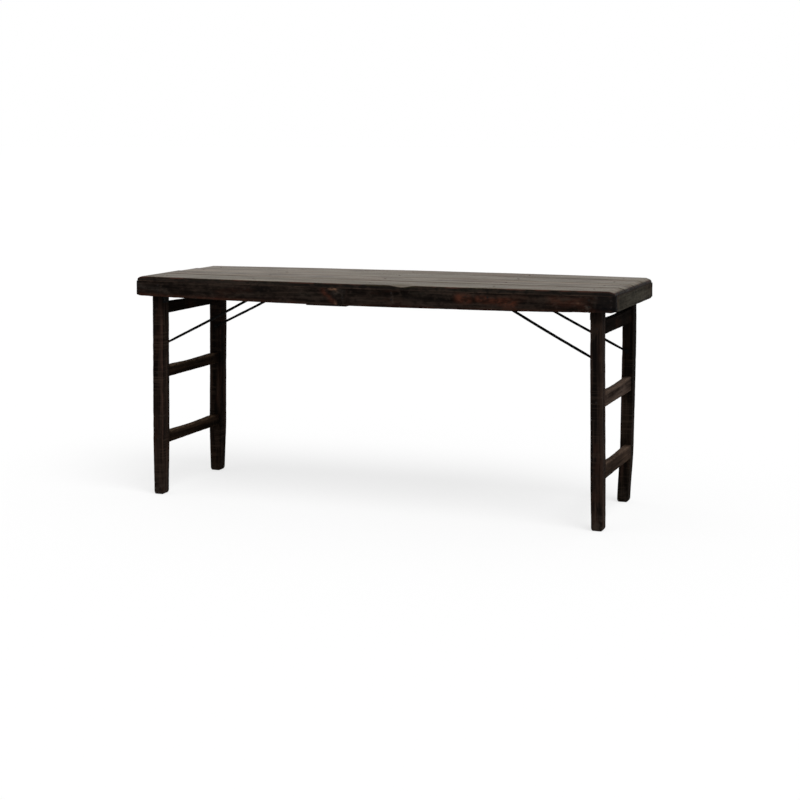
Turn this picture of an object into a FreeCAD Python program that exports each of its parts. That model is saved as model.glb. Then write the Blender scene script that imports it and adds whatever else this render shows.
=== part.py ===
import FreeCAD, Part
import math
import os
from collections import namedtuple

Vector = FreeCAD.Vector

# Folding console table on two ladder-shaped leg frames, in millimetres.
# x runs along the table, y from front to back, z up from the floor; the origin is under its middle.

# Overall size
table_length = 1708.0
table_depth = 560.0
table_height = 775.0

# Boards of the top
board_names = ("front_board", "front_middle_board", "back_middle_board", "back_board")
board_thickness = 16.0
board_gap = 1.2
top_corner_round = 9.0
top_edge_round = 4.5

# Worn scoop in the front edge of the top
scoop_x = 120.0
scoop_length = 112.0
scoop_depth = 6.0
scoop_reach = 48.0

# Rails under the boards
rail_height = 49.0
rail_thickness = 25.0
rail_setback = 0.5
rail_belly = 8.0
rail_edge_bevel = 2.0
end_rail_thickness = 22.0

# Joint in the front rail, with the block behind it
front_joint_x = -58.5
front_joint_gap = 0.8
lip_length = 149.0
lip_drop = 3.0
splice_left_reach = 130.0
splice_right_reach = 190.0
splice_thickness = 20.0
splice_nail_left = 15.0
splice_nail_right = 160.0

# Cross members under the boards
hinge_rail_margin = 6.5
batten_width = 70.0
batten_depth = 32.0
stay_batten_x = 435.0

# Legs
leg_width = 38.0
leg_depth = 51.0
leg_end_inset = 47.0
leg_rail_gap = 2.5
leg_bearing_gap = 0.3
leg_arris = 2.5
foot_width = 32.0
foot_depth = 44.0
foot_bevel = 3.5
foot_bevel_height = 5.0
taper_below_rung = 12.0
left_back_leg_extra = 8.0

# Rungs, each by the drop from the rail's underside to its middle, from the top one down
left_rung_drops = (50.0, 277.0, 512.0)
right_rung_drops = (58.0, 294.0, 530.0)
left_rung_depth = 38.0
right_rung_depth = 46.0
rung_thickness = 22.0
rung_setback = 10.0
rung_arris = 2.0
tenon_thickness = 12.0
tenon_shoulder = 6.0
tenon_length = 30.0
tenon_clearance = 0.1

# Butt hinges
hinge_length = 44.0
hinge_leaf_width = 26.0
hinge_leaf_thickness = 2.0
hinge_middle_length = 16.0
knuckle_radius = 4.0
knuckle_gap = 0.4
hinge_pin_radius = 2.0
running_clearance = 0.05
hinge_nail_spacing = 26.0

# Iron stays, their staples and their pegs
stay_radius = 3.75
stay_leg_gap = 1.0
stay_pivot_drop = 12.0
eye_radius = 8.5
eye_thickness = 8.5
staple_radius = 3.25
staple_side_gap = 1.5
staple_leg = 7.5
staple_tip = 3.0
staple_corner_round = 4.0
staple_depth = 18.0
jaw_radius = 8.5
jaw_thickness = 5.0
jaw_neck = 15.0
jaw_neck_width = 11.0
jaw_clearance = 0.15
peg_inset = 16.0
peg_radius = 3.5
peg_depth = 24.0
peg_tip = 3.0
peg_head_radius = 6.0
peg_head_thickness = 2.5
peg_head_gap = 0.5
fold_angle = 90.0

# Each stay by how far from the middle it starts, and the drop from the rail's underside to its peg
left_front_stay_x = 427.0
left_front_peg_drop = 178.0
left_back_stay_x = 459.0
left_back_peg_drop = 159.0
right_front_stay_x = 459.0
right_front_peg_drop = 171.0
right_back_stay_x = 411.0
right_back_peg_drop = 183.0
stay_places = {
    ("left", "front"): (left_front_stay_x, left_front_peg_drop),
    ("left", "back"): (left_back_stay_x, left_back_peg_drop),
    ("right", "front"): (right_front_stay_x, right_front_peg_drop),
    ("right", "back"): (right_back_stay_x, right_back_peg_drop),
}

# Forged square nails
nail_head = 6.5
nail_head_thickness = 1.2
nail_shank = 3.0
nail_tip = 1.6
nail_sink = 0.4
board_nail_length = 38.0
rail_nail_length = 55.0
rung_nail_length = 42.0
hinge_nail_length = 22.0
deep_member_nail_shares = (0.3, 0.72)
batten_nail_shares = (0.5,)

# One overrun serves every cut
overrun = 5.0

# Levels and faces that follow from the sizes above
board_pitch = (table_depth + board_gap) / len(board_names)
board_bottom = table_height - board_thickness
rail_bottom = board_bottom - rail_height
rail_face = table_depth / 2 - rail_setback
rail_back = rail_face - rail_thickness
rail_end = table_length / 2 - rail_setback
end_rail_back = rail_end - end_rail_thickness
leg_outer_x = table_length / 2 - leg_end_inset
leg_inner_x = leg_outer_x - leg_width
leg_mid_x = leg_inner_x + leg_width / 2
leg_outer_y = rail_back - leg_rail_gap
leg_inner_y = leg_outer_y - leg_depth
leg_mid_y = leg_inner_y + leg_depth / 2
leg_top = rail_bottom - leg_bearing_gap
rung_mid_x = leg_inner_x + rung_setback + rung_thickness / 2
hinge_offset = knuckle_radius + knuckle_gap
hinge_x = leg_inner_x - hinge_offset
hinge_z = rail_bottom - hinge_offset
hinge_rail_outer = leg_outer_x + leg_rail_gap
hinge_rail_inner = hinge_x - hinge_leaf_width - hinge_rail_margin
batten_bottom = board_bottom - batten_depth
stay_y = leg_inner_y - stay_leg_gap - stay_radius
stay_pivot_z = batten_bottom - stay_pivot_drop
peg_x = leg_inner_x + peg_inset

CENTRE = Vector(0, 0, 0)
ALONG = Vector(1, 0, 0)
BACK = Vector(0, 1, 0)
UP = Vector(0, 0, 1)
CORNERS = (("left", "front"), ("left", "back"), ("right", "front"), ("right", "back"))

Nail = namedtuple("Nail", "solid hole")
StayPlan = namedtuple("StayPlan", "pivot peg length slope swing")


def block(x0, x1, y0, y1, z0, z1):
    """A rectangular block between two corners."""
    return Part.makeBox(x1 - x0, y1 - y0, z1 - z0, Vector(x0, y0, z0))


def pad(width, depth, z0, z1):
    """A rectangular block about the z axis."""
    return block(-width / 2, width / 2, -depth / 2, depth / 2, z0, z1)


def at_corner(shape, side, face):
    """A shape drawn at the right back corner, mirrored to any of the four corners."""
    if face == "front":
        shape = shape.mirror(CENTRE, BACK)
    if side == "left":
        shape = shape.mirror(CENTRE, ALONG)
    return shape


def rounded_plan(length, depth, corner, z0, z1):
    """An upright prism with a rounded rectangle for its plan."""
    prism = pad(length, depth, z0, z1)
    upright = [edge for edge in prism.Edges if edge.BoundBox.ZLength > (z1 - z0) / 2]
    return prism.makeFillet(corner, upright)


def flat_face(corners):
    """A flat face through its corners in order."""
    return Part.Face(Part.makePolygon(corners + corners[:1]))


def flat_sided(outlines):
    """A solid with flat sides through level outlines that have like corners, listed from below."""
    faces = [flat_face(outlines[0]), flat_face(outlines[-1])]
    for lower, upper in zip(outlines, outlines[1:]):
        for i in range(len(lower)):
            faces.append(flat_face([lower[i - 1], lower[i], upper[i], upper[i - 1]]))
    solid = Part.Solid(Part.Shell(faces))
    return solid if solid.Volume > 0 else solid.reversed()


def eight_sided(x_mid, y_mid, width, depth, arris, z):
    """The corners of a rectangle with its own corners taken off, at one height."""
    half_x = width / 2
    half_y = depth / 2
    corners = []
    for turn_x, turn_y in ((1, -1), (1, 1), (-1, 1), (-1, -1)):
        on_side = Vector(x_mid + turn_x * half_x, y_mid + turn_y * (half_y - arris), z)
        on_end = Vector(x_mid + turn_x * (half_x - arris), y_mid + turn_y * half_y, z)
        corners += [on_end, on_side] if turn_x * turn_y < 0 else [on_side, on_end]
    return corners


def square_taper(size, tip, z0, z1):
    """A square bar about the z axis that tapers from one height to another."""
    outlines = []
    for width, z in ((size, z0), (tip, z1)):
        half = width / 2
        outlines.append([Vector(half * turn_x, half * turn_y, z)
                         for turn_x, turn_y in ((1, -1), (1, 1), (-1, 1), (-1, -1))])
    return flat_sided(outlines)


def nail(point, direction, length, sink):
    """A nail driven in at a point, its head set below the surface there, and the hole that it fills."""
    head = pad(nail_head, nail_head, -nail_head_thickness, 0)
    pocket = pad(nail_head, nail_head, -nail_head_thickness, sink)
    shank = square_taper(nail_shank, nail_tip, -nail_head_thickness, -length)
    shapes = [top.fuse(shank).removeSplitter() for top in (head, pocket)]
    for shape in shapes:
        shape.Placement = FreeCAD.Placement(point + direction * sink, FreeCAD.Rotation(-UP, direction))
    return Nail(*shapes)


def nails_at_corners(nails, corners):
    """The nails of one corner repeated at others."""
    return [Nail(at_corner(n.solid, *corner), at_corner(n.hole, *corner))
            for corner in corners for n in nails]


def fitted(piece, cutters):
    """A piece with a hole for each cutter that reaches it."""
    near = [cutter for cutter in cutters if cutter.BoundBox.intersect(piece.BoundBox)]
    return piece.cut(near) if near else piece


def nailed(piece, nails):
    """A piece with the holes of every nail that reaches it."""
    return fitted(piece, [n.hole for n in nails])


def save(name, shape):
    """Write one named piece."""
    shape.exportStep(f"parts/{name}.step")


def save_nails(name, nails):
    """Write like nails as one group of separate solids."""
    save(name, Part.makeCompound([n.solid for n in nails]))


# The top

def worn_scoop():
    """The hollow worn into the top's front edge: a slice of a wide cylinder that runs out backwards."""
    radius = (scoop_length ** 2 / 4 + scoop_depth ** 2) / (2 * scoop_depth)
    start = Vector(scoop_x, -table_depth / 2, table_height - scoop_depth + radius)
    rise = Vector(0, scoop_reach, scoop_depth)
    back = rise / rise.Length
    return Part.makeCylinder(radius, scoop_reach + 2 * overrun, start - back * overrun, back)


def top_boards():
    """The boards of the top, from front to back, cut from one slab with worn outer edges."""
    slab = rounded_plan(table_length, table_depth, top_corner_round, board_bottom, table_height)
    upper = [edge for edge in slab.Edges if edge.BoundBox.ZMin > table_height - board_thickness / 2]
    slab = slab.makeFillet(top_edge_round, upper).cut(worn_scoop())
    boards = []
    for index in range(len(board_names)):
        front = -table_depth / 2 + index * board_pitch
        strip = block(-table_length / 2, table_length / 2, front, front + board_pitch - board_gap,
                      board_bottom, table_height)
        boards.append(slab.common(strip))
    return boards


def cross_members():
    """The timbers that run from front to back under the boards, by name."""
    half = batten_width / 2
    ends = (-rail_back, rail_back)
    drawn = {
        "end_rail": block(end_rail_back, rail_end, *ends, rail_bottom, board_bottom),
        "hinge_rail": block(hinge_rail_inner, hinge_rail_outer, *ends, rail_bottom, board_bottom),
        "stay_batten": block(stay_batten_x - half, stay_batten_x + half, *ends,
                             batten_bottom, board_bottom),
    }
    members = {f"{side}_{name}": at_corner(piece, side, "back")
               for name, piece in drawn.items() for side in ("left", "right")}
    members["centre_batten"] = block(-half, half, -rail_back + splice_thickness, rail_back,
                                     batten_bottom, board_bottom)
    return members


def long_rail():
    """The back rail, whose lower edge sags a little towards its middle."""
    left = Vector(-rail_end, rail_back, rail_bottom)
    right = Vector(rail_end, rail_back, rail_bottom)
    low = Vector(0, rail_back, rail_bottom - rail_belly)
    lift = Vector(0, 0, rail_height)
    outline = Part.Wire([Part.Arc(left, low, right).toShape(), Part.makeLine(right, right + lift),
                         Part.makeLine(right + lift, left + lift), Part.makeLine(left + lift, left)])
    rail = Part.Face(outline).extrude(Vector(0, rail_thickness, 0))
    middle_y = rail_back + rail_thickness / 2
    bevelled = [edge for edge in rail.Edges
                if edge.BoundBox.ZMin < rail_bottom - rail_belly / 2 and edge.BoundBox.YMin > middle_y]
    plan = rounded_plan(2 * rail_end, 2 * rail_face, top_corner_round - rail_setback,
                        rail_bottom - rail_belly - overrun, board_bottom)
    return rail.makeChamfer(rail_edge_bevel, bevelled).common(plan)


def front_rails():
    """The two lengths of the front rail, the left one with a lip that hangs lower beside the joint."""
    whole = at_corner(long_rail(), "right", "front")
    lowered = whole.translated(Vector(0, 0, -lip_drop))
    joint_left = front_joint_x - front_joint_gap / 2
    joint_right = front_joint_x + front_joint_gap / 2
    low = rail_bottom - rail_belly - lip_drop - overrun
    across = (-rail_face - overrun, -rail_back + overrun)
    left = whole.common(block(-rail_end - overrun, joint_left, *across, low, board_bottom))
    lip = lowered.common(block(joint_left - lip_length, joint_left, *across, low, board_bottom))
    right = whole.common(block(joint_right, rail_end + overrun, *across, low, board_bottom))
    return left.fuse(lip).removeSplitter(), right


def splice_block():
    """The block nailed behind the joint in the front rail."""
    return block(front_joint_x - splice_left_reach, front_joint_x + splice_right_reach,
                 -rail_back, -rail_back + splice_thickness, rail_bottom, board_bottom)


def board_nails(members):
    """Nails through the boards into the hinge rails and battens, one to a board."""
    nails = []
    for name, member in members.items():
        if name.endswith("end_rail"):
            continue
        for index in range(len(board_names)):
            y_mid = -table_depth / 2 + (index + 0.5) * board_pitch - board_gap / 2
            point = Vector(member.BoundBox.Center.x, y_mid, table_height)
            nails.append(nail(point, -UP, board_nail_length, nail_sink))
    return nails


def rail_nails(members):
    """Nails through the long rails into the ends of the cross members and into the splice block."""
    nails = []
    for name, member in members.items():
        box = member.BoundBox
        shares = batten_nail_shares if name.endswith("batten") else deep_member_nail_shares
        turns = (1,) if name == "centre_batten" else (-1, 1)
        for turn in turns:
            for share in shares:
                point = Vector(box.Center.x, turn * rail_face, box.ZMin + share * box.ZLength)
                nails.append(nail(point, BACK * -turn, rail_nail_length, nail_sink))
    for x in (front_joint_x - splice_nail_left, front_joint_x + splice_nail_right):
        for share in deep_member_nail_shares:
            point = Vector(x, -rail_face, rail_bottom + share * rail_height)
            nails.append(nail(point, BACK, board_nail_length, nail_sink))
    return nails


# The hinges, drawn at the right back corner

def knuckle(start, end):
    """One knuckle about the hinge's axis, by its two ends from the middle of the hinge."""
    return Part.makeCylinder(knuckle_radius, end - start, Vector(hinge_x, leg_mid_y + start, hinge_z), BACK)


def hinge_pin(clearance):
    """The pin through the knuckles, or with a clearance the bore that turns on it."""
    start = Vector(hinge_x, leg_mid_y - hinge_length / 2, hinge_z)
    return Part.makeCylinder(hinge_pin_radius + clearance, hinge_length, start, BACK)


def hinge_top_leaf():
    """The leaf under the hinge rail, with the two outer knuckles."""
    half = hinge_length / 2
    half_middle = hinge_middle_length / 2 + knuckle_gap
    leaf = block(hinge_x - hinge_leaf_width, hinge_x, leg_mid_y - half, leg_mid_y + half,
                 rail_bottom - hinge_leaf_thickness, rail_bottom)
    notch = block(hinge_x - hinge_offset, hinge_x + overrun,
                  leg_mid_y - half_middle, leg_mid_y + half_middle,
                  rail_bottom - hinge_offset, rail_bottom + overrun)
    knuckles = [knuckle(-half, -half_middle), knuckle(half_middle, half)]
    return leaf.cut(notch).fuse(knuckles).removeSplitter().cut(hinge_pin(0))


def hinge_leg_leaf():
    """The leaf on the leg's inner face, with the middle knuckle."""
    half = hinge_length / 2
    half_middle = hinge_middle_length / 2
    face = leg_inner_x - hinge_leaf_thickness
    leaf = block(face, leg_inner_x, leg_mid_y - half, leg_mid_y + half, hinge_z - hinge_leaf_width, hinge_z)
    notches = [block(face - overrun, leg_inner_x + overrun, leg_mid_y + start, leg_mid_y + end,
                     hinge_z - hinge_offset, hinge_z + overrun)
               for start, end in ((-half - overrun, -half_middle), (half_middle, half + overrun))]
    leaf = leaf.cut(notches).fuse(knuckle(-half_middle, half_middle)).removeSplitter()
    return leaf.cut(hinge_pin(running_clearance))


def hinge_nails():
    """Nails of one hinge: those through the top leaf, and those through the leg's leaf."""
    top_nails = []
    leg_nails = []
    middle = (hinge_leaf_width + hinge_offset) / 2
    head_height = hinge_leaf_thickness + nail_head_thickness
    for turn in (-1, 1):
        y = leg_mid_y + turn * hinge_nail_spacing / 2
        under_rail = Vector(hinge_x - middle, y, rail_bottom - head_height)
        beside_leg = Vector(leg_inner_x - head_height, y, hinge_z - middle)
        top_nails.append(nail(under_rail, UP, hinge_nail_length, 0))
        leg_nails.append(nail(beside_leg, ALONG, hinge_nail_length, 0))
    return top_nails, leg_nails


# The leg frames, drawn at the right end

def tenon(height, rung_depth, clearance):
    """The tenon at a rung's back end, or with a clearance the mortise that takes it."""
    half_x = tenon_thickness / 2 + clearance
    half_z = rung_depth / 2 - tenon_shoulder + clearance
    return block(rung_mid_x - half_x, rung_mid_x + half_x, leg_inner_y - clearance,
                 leg_inner_y + tenon_length + clearance, height - half_z, height + half_z)


def leg(rung_heights, rung_depth, peg, extra):
    """The right back leg, straight and then tapered to a bevelled foot, with any extra width outside."""
    taper_top = rung_heights[-1] - rung_depth / 2 - taper_below_rung
    sizes = (
        (foot_width - foot_bevel, foot_depth - foot_bevel, 0),
        (foot_width, foot_depth, foot_bevel_height),
        (leg_width, leg_depth, taper_top),
        (leg_width, leg_depth, leg_top),
    )
    outlines = [eight_sided(leg_mid_x + extra / 2, leg_mid_y, width + extra, depth, leg_arris, z)
                for width, depth, z in sizes]
    mortises = [tenon(height, rung_depth, tenon_clearance) for height in rung_heights]
    return flat_sided(outlines).cut(mortises + [peg])


def rung(height, rung_depth):
    """A rung between the two legs, with its arrises worn off and a tenon at each end."""
    section = flat_face(eight_sided(rung_mid_x, 0, rung_thickness, rung_depth, rung_arris, 0))
    bar = section.extrude(Vector(0, 0, 2 * leg_inner_y))
    bar.rotate(Vector(rung_mid_x, 0, 0), ALONG, -90)
    bar.translate(Vector(0, -leg_inner_y, height))
    tenons = [at_corner(tenon(height, rung_depth, 0), "right", face) for face in ("front", "back")]
    return bar.fuse(tenons).removeSplitter()


def rung_nails(rung_heights):
    """Nails through the outer sides of the right legs into the tenons."""
    drawn = [nail(Vector(rung_mid_x, leg_outer_y, height), -BACK, rung_nail_length, nail_sink)
             for height in rung_heights]
    return nails_at_corners(drawn, (("right", "front"), ("right", "back")))


# The stays, drawn at the right back corner

def stay_plan(side, face):
    """Where one corner's stay starts and ends, its length and slope, and how far it swings."""
    pivot_x, peg_drop = stay_places[side, face]
    pivot = Vector(pivot_x, stay_y, stay_pivot_z)
    peg = Vector(peg_x, stay_y, rail_bottom - peg_drop)
    run = peg - pivot
    slope = math.atan2(-run.z, run.x)
    return StayPlan(pivot, peg, run.Length, slope, math.pi - slope)


def stay_peg(plan):
    """The headed iron peg driven into the leg's inner side, which the stay's jaw hooks under."""
    head_start = stay_leg_gap + stay_radius + jaw_thickness / 2 + peg_head_gap
    face = Vector(peg_x, leg_inner_y, plan.peg.z)
    shank = Part.makeCylinder(peg_radius, head_start, face, -BACK)
    head = Part.makeCylinder(peg_head_radius, peg_head_thickness, face - BACK * head_start, -BACK)
    spike = square_taper(peg_radius * math.sqrt(2), peg_tip, 0, peg_depth)
    spike.Placement = FreeCAD.Placement(face, FreeCAD.Rotation(UP, BACK))
    return shank.fuse([head, spike]).removeSplitter()


def stay_staple(plan):
    """The forged staple under the stay batten: two spikes, and a round cross bar that the stay turns on."""
    inner = eye_thickness / 2 + staple_side_gap
    bottom = stay_pivot_z - staple_leg / 2
    bar = Part.makeCylinder(staple_radius, 2 * inner, Vector(0, -inner, stay_pivot_z), BACK)
    post = block(-staple_leg / 2, staple_leg / 2, inner, inner + staple_leg, bottom, batten_bottom)
    outer = [edge for edge in post.Edges
             if edge.BoundBox.ZMax < stay_pivot_z and edge.BoundBox.YMin > inner + staple_leg / 2]
    spike = square_taper(staple_leg, staple_tip, batten_bottom, batten_bottom + staple_depth)
    spike.translate(Vector(0, inner + staple_leg / 2, 0))
    post = post.makeFillet(staple_corner_round, outer).fuse(spike)
    staple = bar.fuse([post, post.mirror(CENTRE, BACK)]).removeSplitter()
    return staple.translated(Vector(plan.pivot.x, stay_y, 0))


def stay(plan):
    """The rod stay, with an eye round the staple at its upper end and an open jaw under the peg."""
    along = (plan.peg - plan.pivot) / plan.length
    half_eye = Vector(0, eye_thickness / 2, 0)
    half_jaw = Vector(0, jaw_thickness / 2, 0)
    rod = Part.makeCylinder(stay_radius, plan.length - jaw_neck, plan.pivot, along)
    eye = Part.makeCylinder(eye_radius, eye_thickness, plan.pivot - half_eye, BACK)
    jaw = Part.makeCylinder(jaw_radius, jaw_thickness, plan.peg - half_jaw, BACK)
    neck = block(0, jaw_neck + stay_radius, -jaw_thickness / 2, jaw_thickness / 2,
                 -jaw_neck_width / 2, jaw_neck_width / 2)
    neck.Placement = FreeCAD.Placement(plan.peg, FreeCAD.Rotation(ALONG, -along))
    bore = Part.makeCylinder(staple_radius + running_clearance, eye_thickness, plan.pivot - half_eye, BACK)
    return rod.fuse([eye, jaw, neck]).removeSplitter().cut([bore, jaw_mouth(plan)])


def jaw_mouth(plan):
    """The slot in the jaw, open the way the peg leaves it as the frame and the stay begin to fold."""
    frame_arm = plan.peg - Vector(hinge_x, stay_y, hinge_z)
    stay_arm = plan.peg - plan.pivot
    leaving = BACK.cross(frame_arm) - BACK.cross(stay_arm) * (plan.swing / math.radians(fold_angle))
    radius = peg_radius + jaw_clearance
    half = jaw_thickness / 2 + overrun
    seat = Part.makeCylinder(radius, 2 * half, plan.peg - BACK * half, BACK)
    slot = block(0, jaw_radius + overrun, -half, half, -radius, radius)
    slot.Placement = FreeCAD.Placement(plan.peg, FreeCAD.Rotation(ALONG, leaving))
    return seat.fuse(slot)


# Writing the pieces

def write_top(top_hinge_nails):
    """The boards, rails, battens and staples, with their nails."""
    members = cross_members()
    nails_in_boards = board_nails(members)
    nails_in_rails = rail_nails(members)
    staples = [at_corner(stay_staple(stay_plan(*corner)), *corner) for corner in CORNERS]
    for name, board in zip(board_names, top_boards()):
        save(name, nailed(board, nails_in_boards))
    front_left, front_right = front_rails()
    rails = {"front_rail_left": front_left, "front_rail_right": front_right,
             "front_rail_splice": splice_block(), "back_rail": long_rail()}
    for name, rail in rails.items():
        save(name, nailed(rail, nails_in_rails))
    for name, member in members.items():
        save(name, fitted(nailed(member, nails_in_boards + nails_in_rails + top_hinge_nails), staples))
    for (side, face), staple in zip(CORNERS, staples):
        save(f"{side}_{face}_stay_staple", staple)
    save_nails("board_nails", nails_in_boards)
    save_nails("rail_nails", nails_in_rails)
    save_nails("hinge_top_nails", top_hinge_nails)


def write_corner(side, face, top_nails, leg_nails):
    """The hinge, stay and peg of one corner."""
    plan = stay_plan(side, face)
    pieces = {
        "hinge_top_leaf": nailed(hinge_top_leaf(), top_nails),
        "hinge_leg_leaf": nailed(hinge_leg_leaf(), leg_nails),
        "hinge_pin": hinge_pin(0),
        "stay_peg": stay_peg(plan),
        "stay": stay(plan),
    }
    for name, piece in pieces.items():
        save(f"{side}_{face}_{name}", at_corner(piece, side, face))


def write_frame(side, rung_drops, rung_depth, leg_nails):
    """The legs and rungs of one end, with their nails."""
    heights = [rail_bottom - drop for drop in rung_drops]
    nails = rung_nails(heights)
    for face in ("front", "back"):
        extra = left_back_leg_extra if (side, face) == ("left", "back") else 0
        post = nailed(leg(heights, rung_depth, stay_peg(stay_plan(side, face)), extra), nails + leg_nails)
        save(f"{side}_{face}_leg", at_corner(post, side, face))
    for name, height in zip(("upper", "middle", "lower"), heights):
        save(f"{side}_{name}_rung", at_corner(nailed(rung(height, rung_depth), nails), side, "back"))
    save_nails(f"{side}_rung_nails", nails_at_corners(nails, ((side, "back"),)))
    save_nails(f"{side}_hinge_leg_nails", nails_at_corners(leg_nails, ((side, "front"), (side, "back"))))


os.makedirs("parts", exist_ok=True)
top_nails, leg_nails = hinge_nails()
write_top(nails_at_corners(top_nails, CORNERS))
for side, face in CORNERS:
    write_corner(side, face, top_nails, leg_nails)
write_frame("left", left_rung_drops, left_rung_depth, leg_nails)
write_frame("right", right_rung_drops, right_rung_depth, leg_nails)
print("hinge axis", hinge_x, hinge_z)
for corner in CORNERS:
    plan = stay_plan(*corner)
    print("stay", *corner, plan.pivot, "swing", math.degrees(plan.swing))
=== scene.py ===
import math

import bmesh
import bpy
import numpy
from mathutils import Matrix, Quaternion, Vector


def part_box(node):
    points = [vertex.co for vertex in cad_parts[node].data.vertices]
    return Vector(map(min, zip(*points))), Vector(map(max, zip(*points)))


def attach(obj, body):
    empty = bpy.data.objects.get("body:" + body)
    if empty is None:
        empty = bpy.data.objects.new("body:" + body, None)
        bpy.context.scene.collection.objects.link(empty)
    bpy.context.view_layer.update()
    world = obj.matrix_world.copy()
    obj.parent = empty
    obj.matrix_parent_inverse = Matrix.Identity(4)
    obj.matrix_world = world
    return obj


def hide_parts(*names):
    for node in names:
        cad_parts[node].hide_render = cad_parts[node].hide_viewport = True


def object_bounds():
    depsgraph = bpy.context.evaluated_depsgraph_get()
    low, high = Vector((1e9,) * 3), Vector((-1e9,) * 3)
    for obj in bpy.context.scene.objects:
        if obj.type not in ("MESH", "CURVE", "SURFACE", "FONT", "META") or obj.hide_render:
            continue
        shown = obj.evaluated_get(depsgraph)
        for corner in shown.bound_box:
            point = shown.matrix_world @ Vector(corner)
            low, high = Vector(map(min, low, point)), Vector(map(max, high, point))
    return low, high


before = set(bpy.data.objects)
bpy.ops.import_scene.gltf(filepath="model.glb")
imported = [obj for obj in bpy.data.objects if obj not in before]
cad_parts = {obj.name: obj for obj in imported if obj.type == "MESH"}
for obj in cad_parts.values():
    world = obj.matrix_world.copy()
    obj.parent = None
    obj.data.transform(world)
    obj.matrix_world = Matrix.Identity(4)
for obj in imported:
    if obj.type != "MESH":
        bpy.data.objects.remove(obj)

packed_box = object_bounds()
table_top = packed_box[1].z
half_length = packed_box[1].x

BOARDS = ("front_board", "front_middle_board", "back_middle_board", "back_board")
SIDES = ("left", "right")
FACES = ("front", "back")
RUNGS = ("upper", "middle", "lower")
END_RAILS = [f"{side}_end_rail" for side in SIDES]
CROSS_TIMBERS = [f"{side}_{kind}" for kind in ("hinge_rail", "stay_batten") for side in SIDES]

# Sizes in metres. x runs along the table, y from front to back, z up from the floor.

# Boards of the top
top_corner_round = 0.009
top_edge_round = 0.0055
seam_arris = 0.0006
end_dip = 0.0065
end_dip_reach = 0.018
end_dip_height = 0.009
top_twist = 0.010
BACK_DIP = {"back_middle_board": 0.0015, "back_board": 0.0035}
back_dip_reach = 1.2
back_dip_line = 0.012
scoop_x = 0.136
scoop_reach = 0.047
scoop_depth = 0.006
scoop_bed = 0.006
scoop_line = 0.008
scoop_line_depth = 0.002

# Rails round the top
rail_corner_round = 0.0065
rail_arris = 0.0022
rail_drop = 0.0025
rail_end_proud = 0.0033
rail_end_lift = 0.003
rail_end_lift_reach = 0.013
rail_end_lift_height = 0.009
rail_belly = 0.0065
rail_sag_height = 0.012
right_sag = 0.0018
right_sag_x = 0.6
right_sag_reach = 0.5
lip_length = 0.149
lip_drop = 0.003
lip_height = 0.004

# Legs and rungs
leg_arris = 0.0028
taper_below_rung = 0.012
FOOT_WIDTH = {
    ("left", "front"): 0.0355, ("left", "back"): 0.0380,
    ("right", "front"): 0.0375, ("right", "back"): 0.0370,
}
foot_depth = 0.045
foot_bevel = 0.010
foot_bevel_height = 0.009
foot_first_drop_share = 0.6
foot_first_inset_share = 0.35
foot_lift = 0.0008
foot_line = foot_bevel_height / 4
LEG_LEAN = {
    ("left", "front"): -0.002, ("left", "back"): -0.0055,
    ("right", "front"): 0.0055, ("right", "back"): -0.009,
}
lean_reach = 0.55
foot_kick = -0.0068
foot_kick_reach = 0.2
rung_arris = 0.0026
rung_entry = 0.004
rung_sag = 0.0018
rung_hollow = 0.0028
rung_hollow_reach = 0.17
rung_hollow_height = 0.005

# Iron stays
stay_radius = 0.0045
stay_facets = 16
stay_slices = 26
stay_bow = 0.0015
stay_pick_share = 1.2
stay_end_share = 0.8
stay_end_reach = 0.06
stay_hammering = 0.0006
eye_radius = 0.0059
eye_bar = 0.0026
eye_flare = 1.5
eye_segments = 28
hook_radius = 0.0061
hook_bar = 0.0023
hook_sweep = math.radians(250)
hook_steps = 24
bar_facets = 12
staple_half = 0.00375

# Nails
nail_head_size = 0.0068
nail_head_height = 0.0011
nail_head_peak = 0.0008
nail_corner_share = 0.14
nail_slope_share = 0.33
nail_peak_share_x = 0.05
nail_peak_share_y = 0.03
nail_proud = 0.0002
nail_turn = 0.9
rail_nail_shares = (0.3, 0.72)
batten_nail_shares = (0.5,)
joint_nail_x = (-0.0735, 0.1015)

# How fine each kind of piece is sliced along x, y and z, and in how many steps its edges are rounded
board_slices = (0.010, 0.011, 0.008)
rail_slices = (0.005, 0.0085, 0.0046)
end_rail_slices = (0.011, 0.009, 0.0065)
leg_slices = (0.0085, 0.0085, 0.010)
rung_slices = (0.0075, 0.010, 0.0075)
corner_steps = 5
arris_steps = 3
seam_steps = 2
nail_corner_steps = 1

# How deep the broad hollows and the nicks at the edges of each kind of piece are, and where they lie
board_wear = (0.0010, 0.0010)
rail_wear = (0.0012, 0.0012)
end_rail_wear = (0.0010, 0.0012)
leg_wear = (0.0014, 0.0010)
rung_wear = (0.0012, 0.0010)
wear_width = 0.006
board_wear_width = 0.0025
hollow_middle = 0.35
nick_middle = 0.6
hammer_middle = 0.5
wood_crease = math.radians(38)
iron_crease = math.radians(50)

# How near counts as at a place, along an axis, at the middle of a piece or at its end
same_place = 1e-5
same_point = 0.00005
mostly = 0.9
sharp_angle = 1.0
middle_line = 0.006
end_line = 0.0015
least_reach = 0.001


# Modelling by hand: a block is added at its size, shaped in edit mode and worn down with modifiers.

def open_new(name):
    """Name the piece that was just added, settle it in its place and open it for shaping."""
    bpy.ops.object.transform_apply(location=True, rotation=True, scale=True)
    piece = bpy.context.object
    piece.name = name
    piece.data.name = name
    bpy.ops.object.mode_set(mode="EDIT")
    return piece


def start_block(name, low, high):
    """A squared block between two corners, open for shaping."""
    bpy.ops.mesh.primitive_cube_add(size=1, location=(low + high) / 2, scale=high - low)
    return open_new(name)


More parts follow.
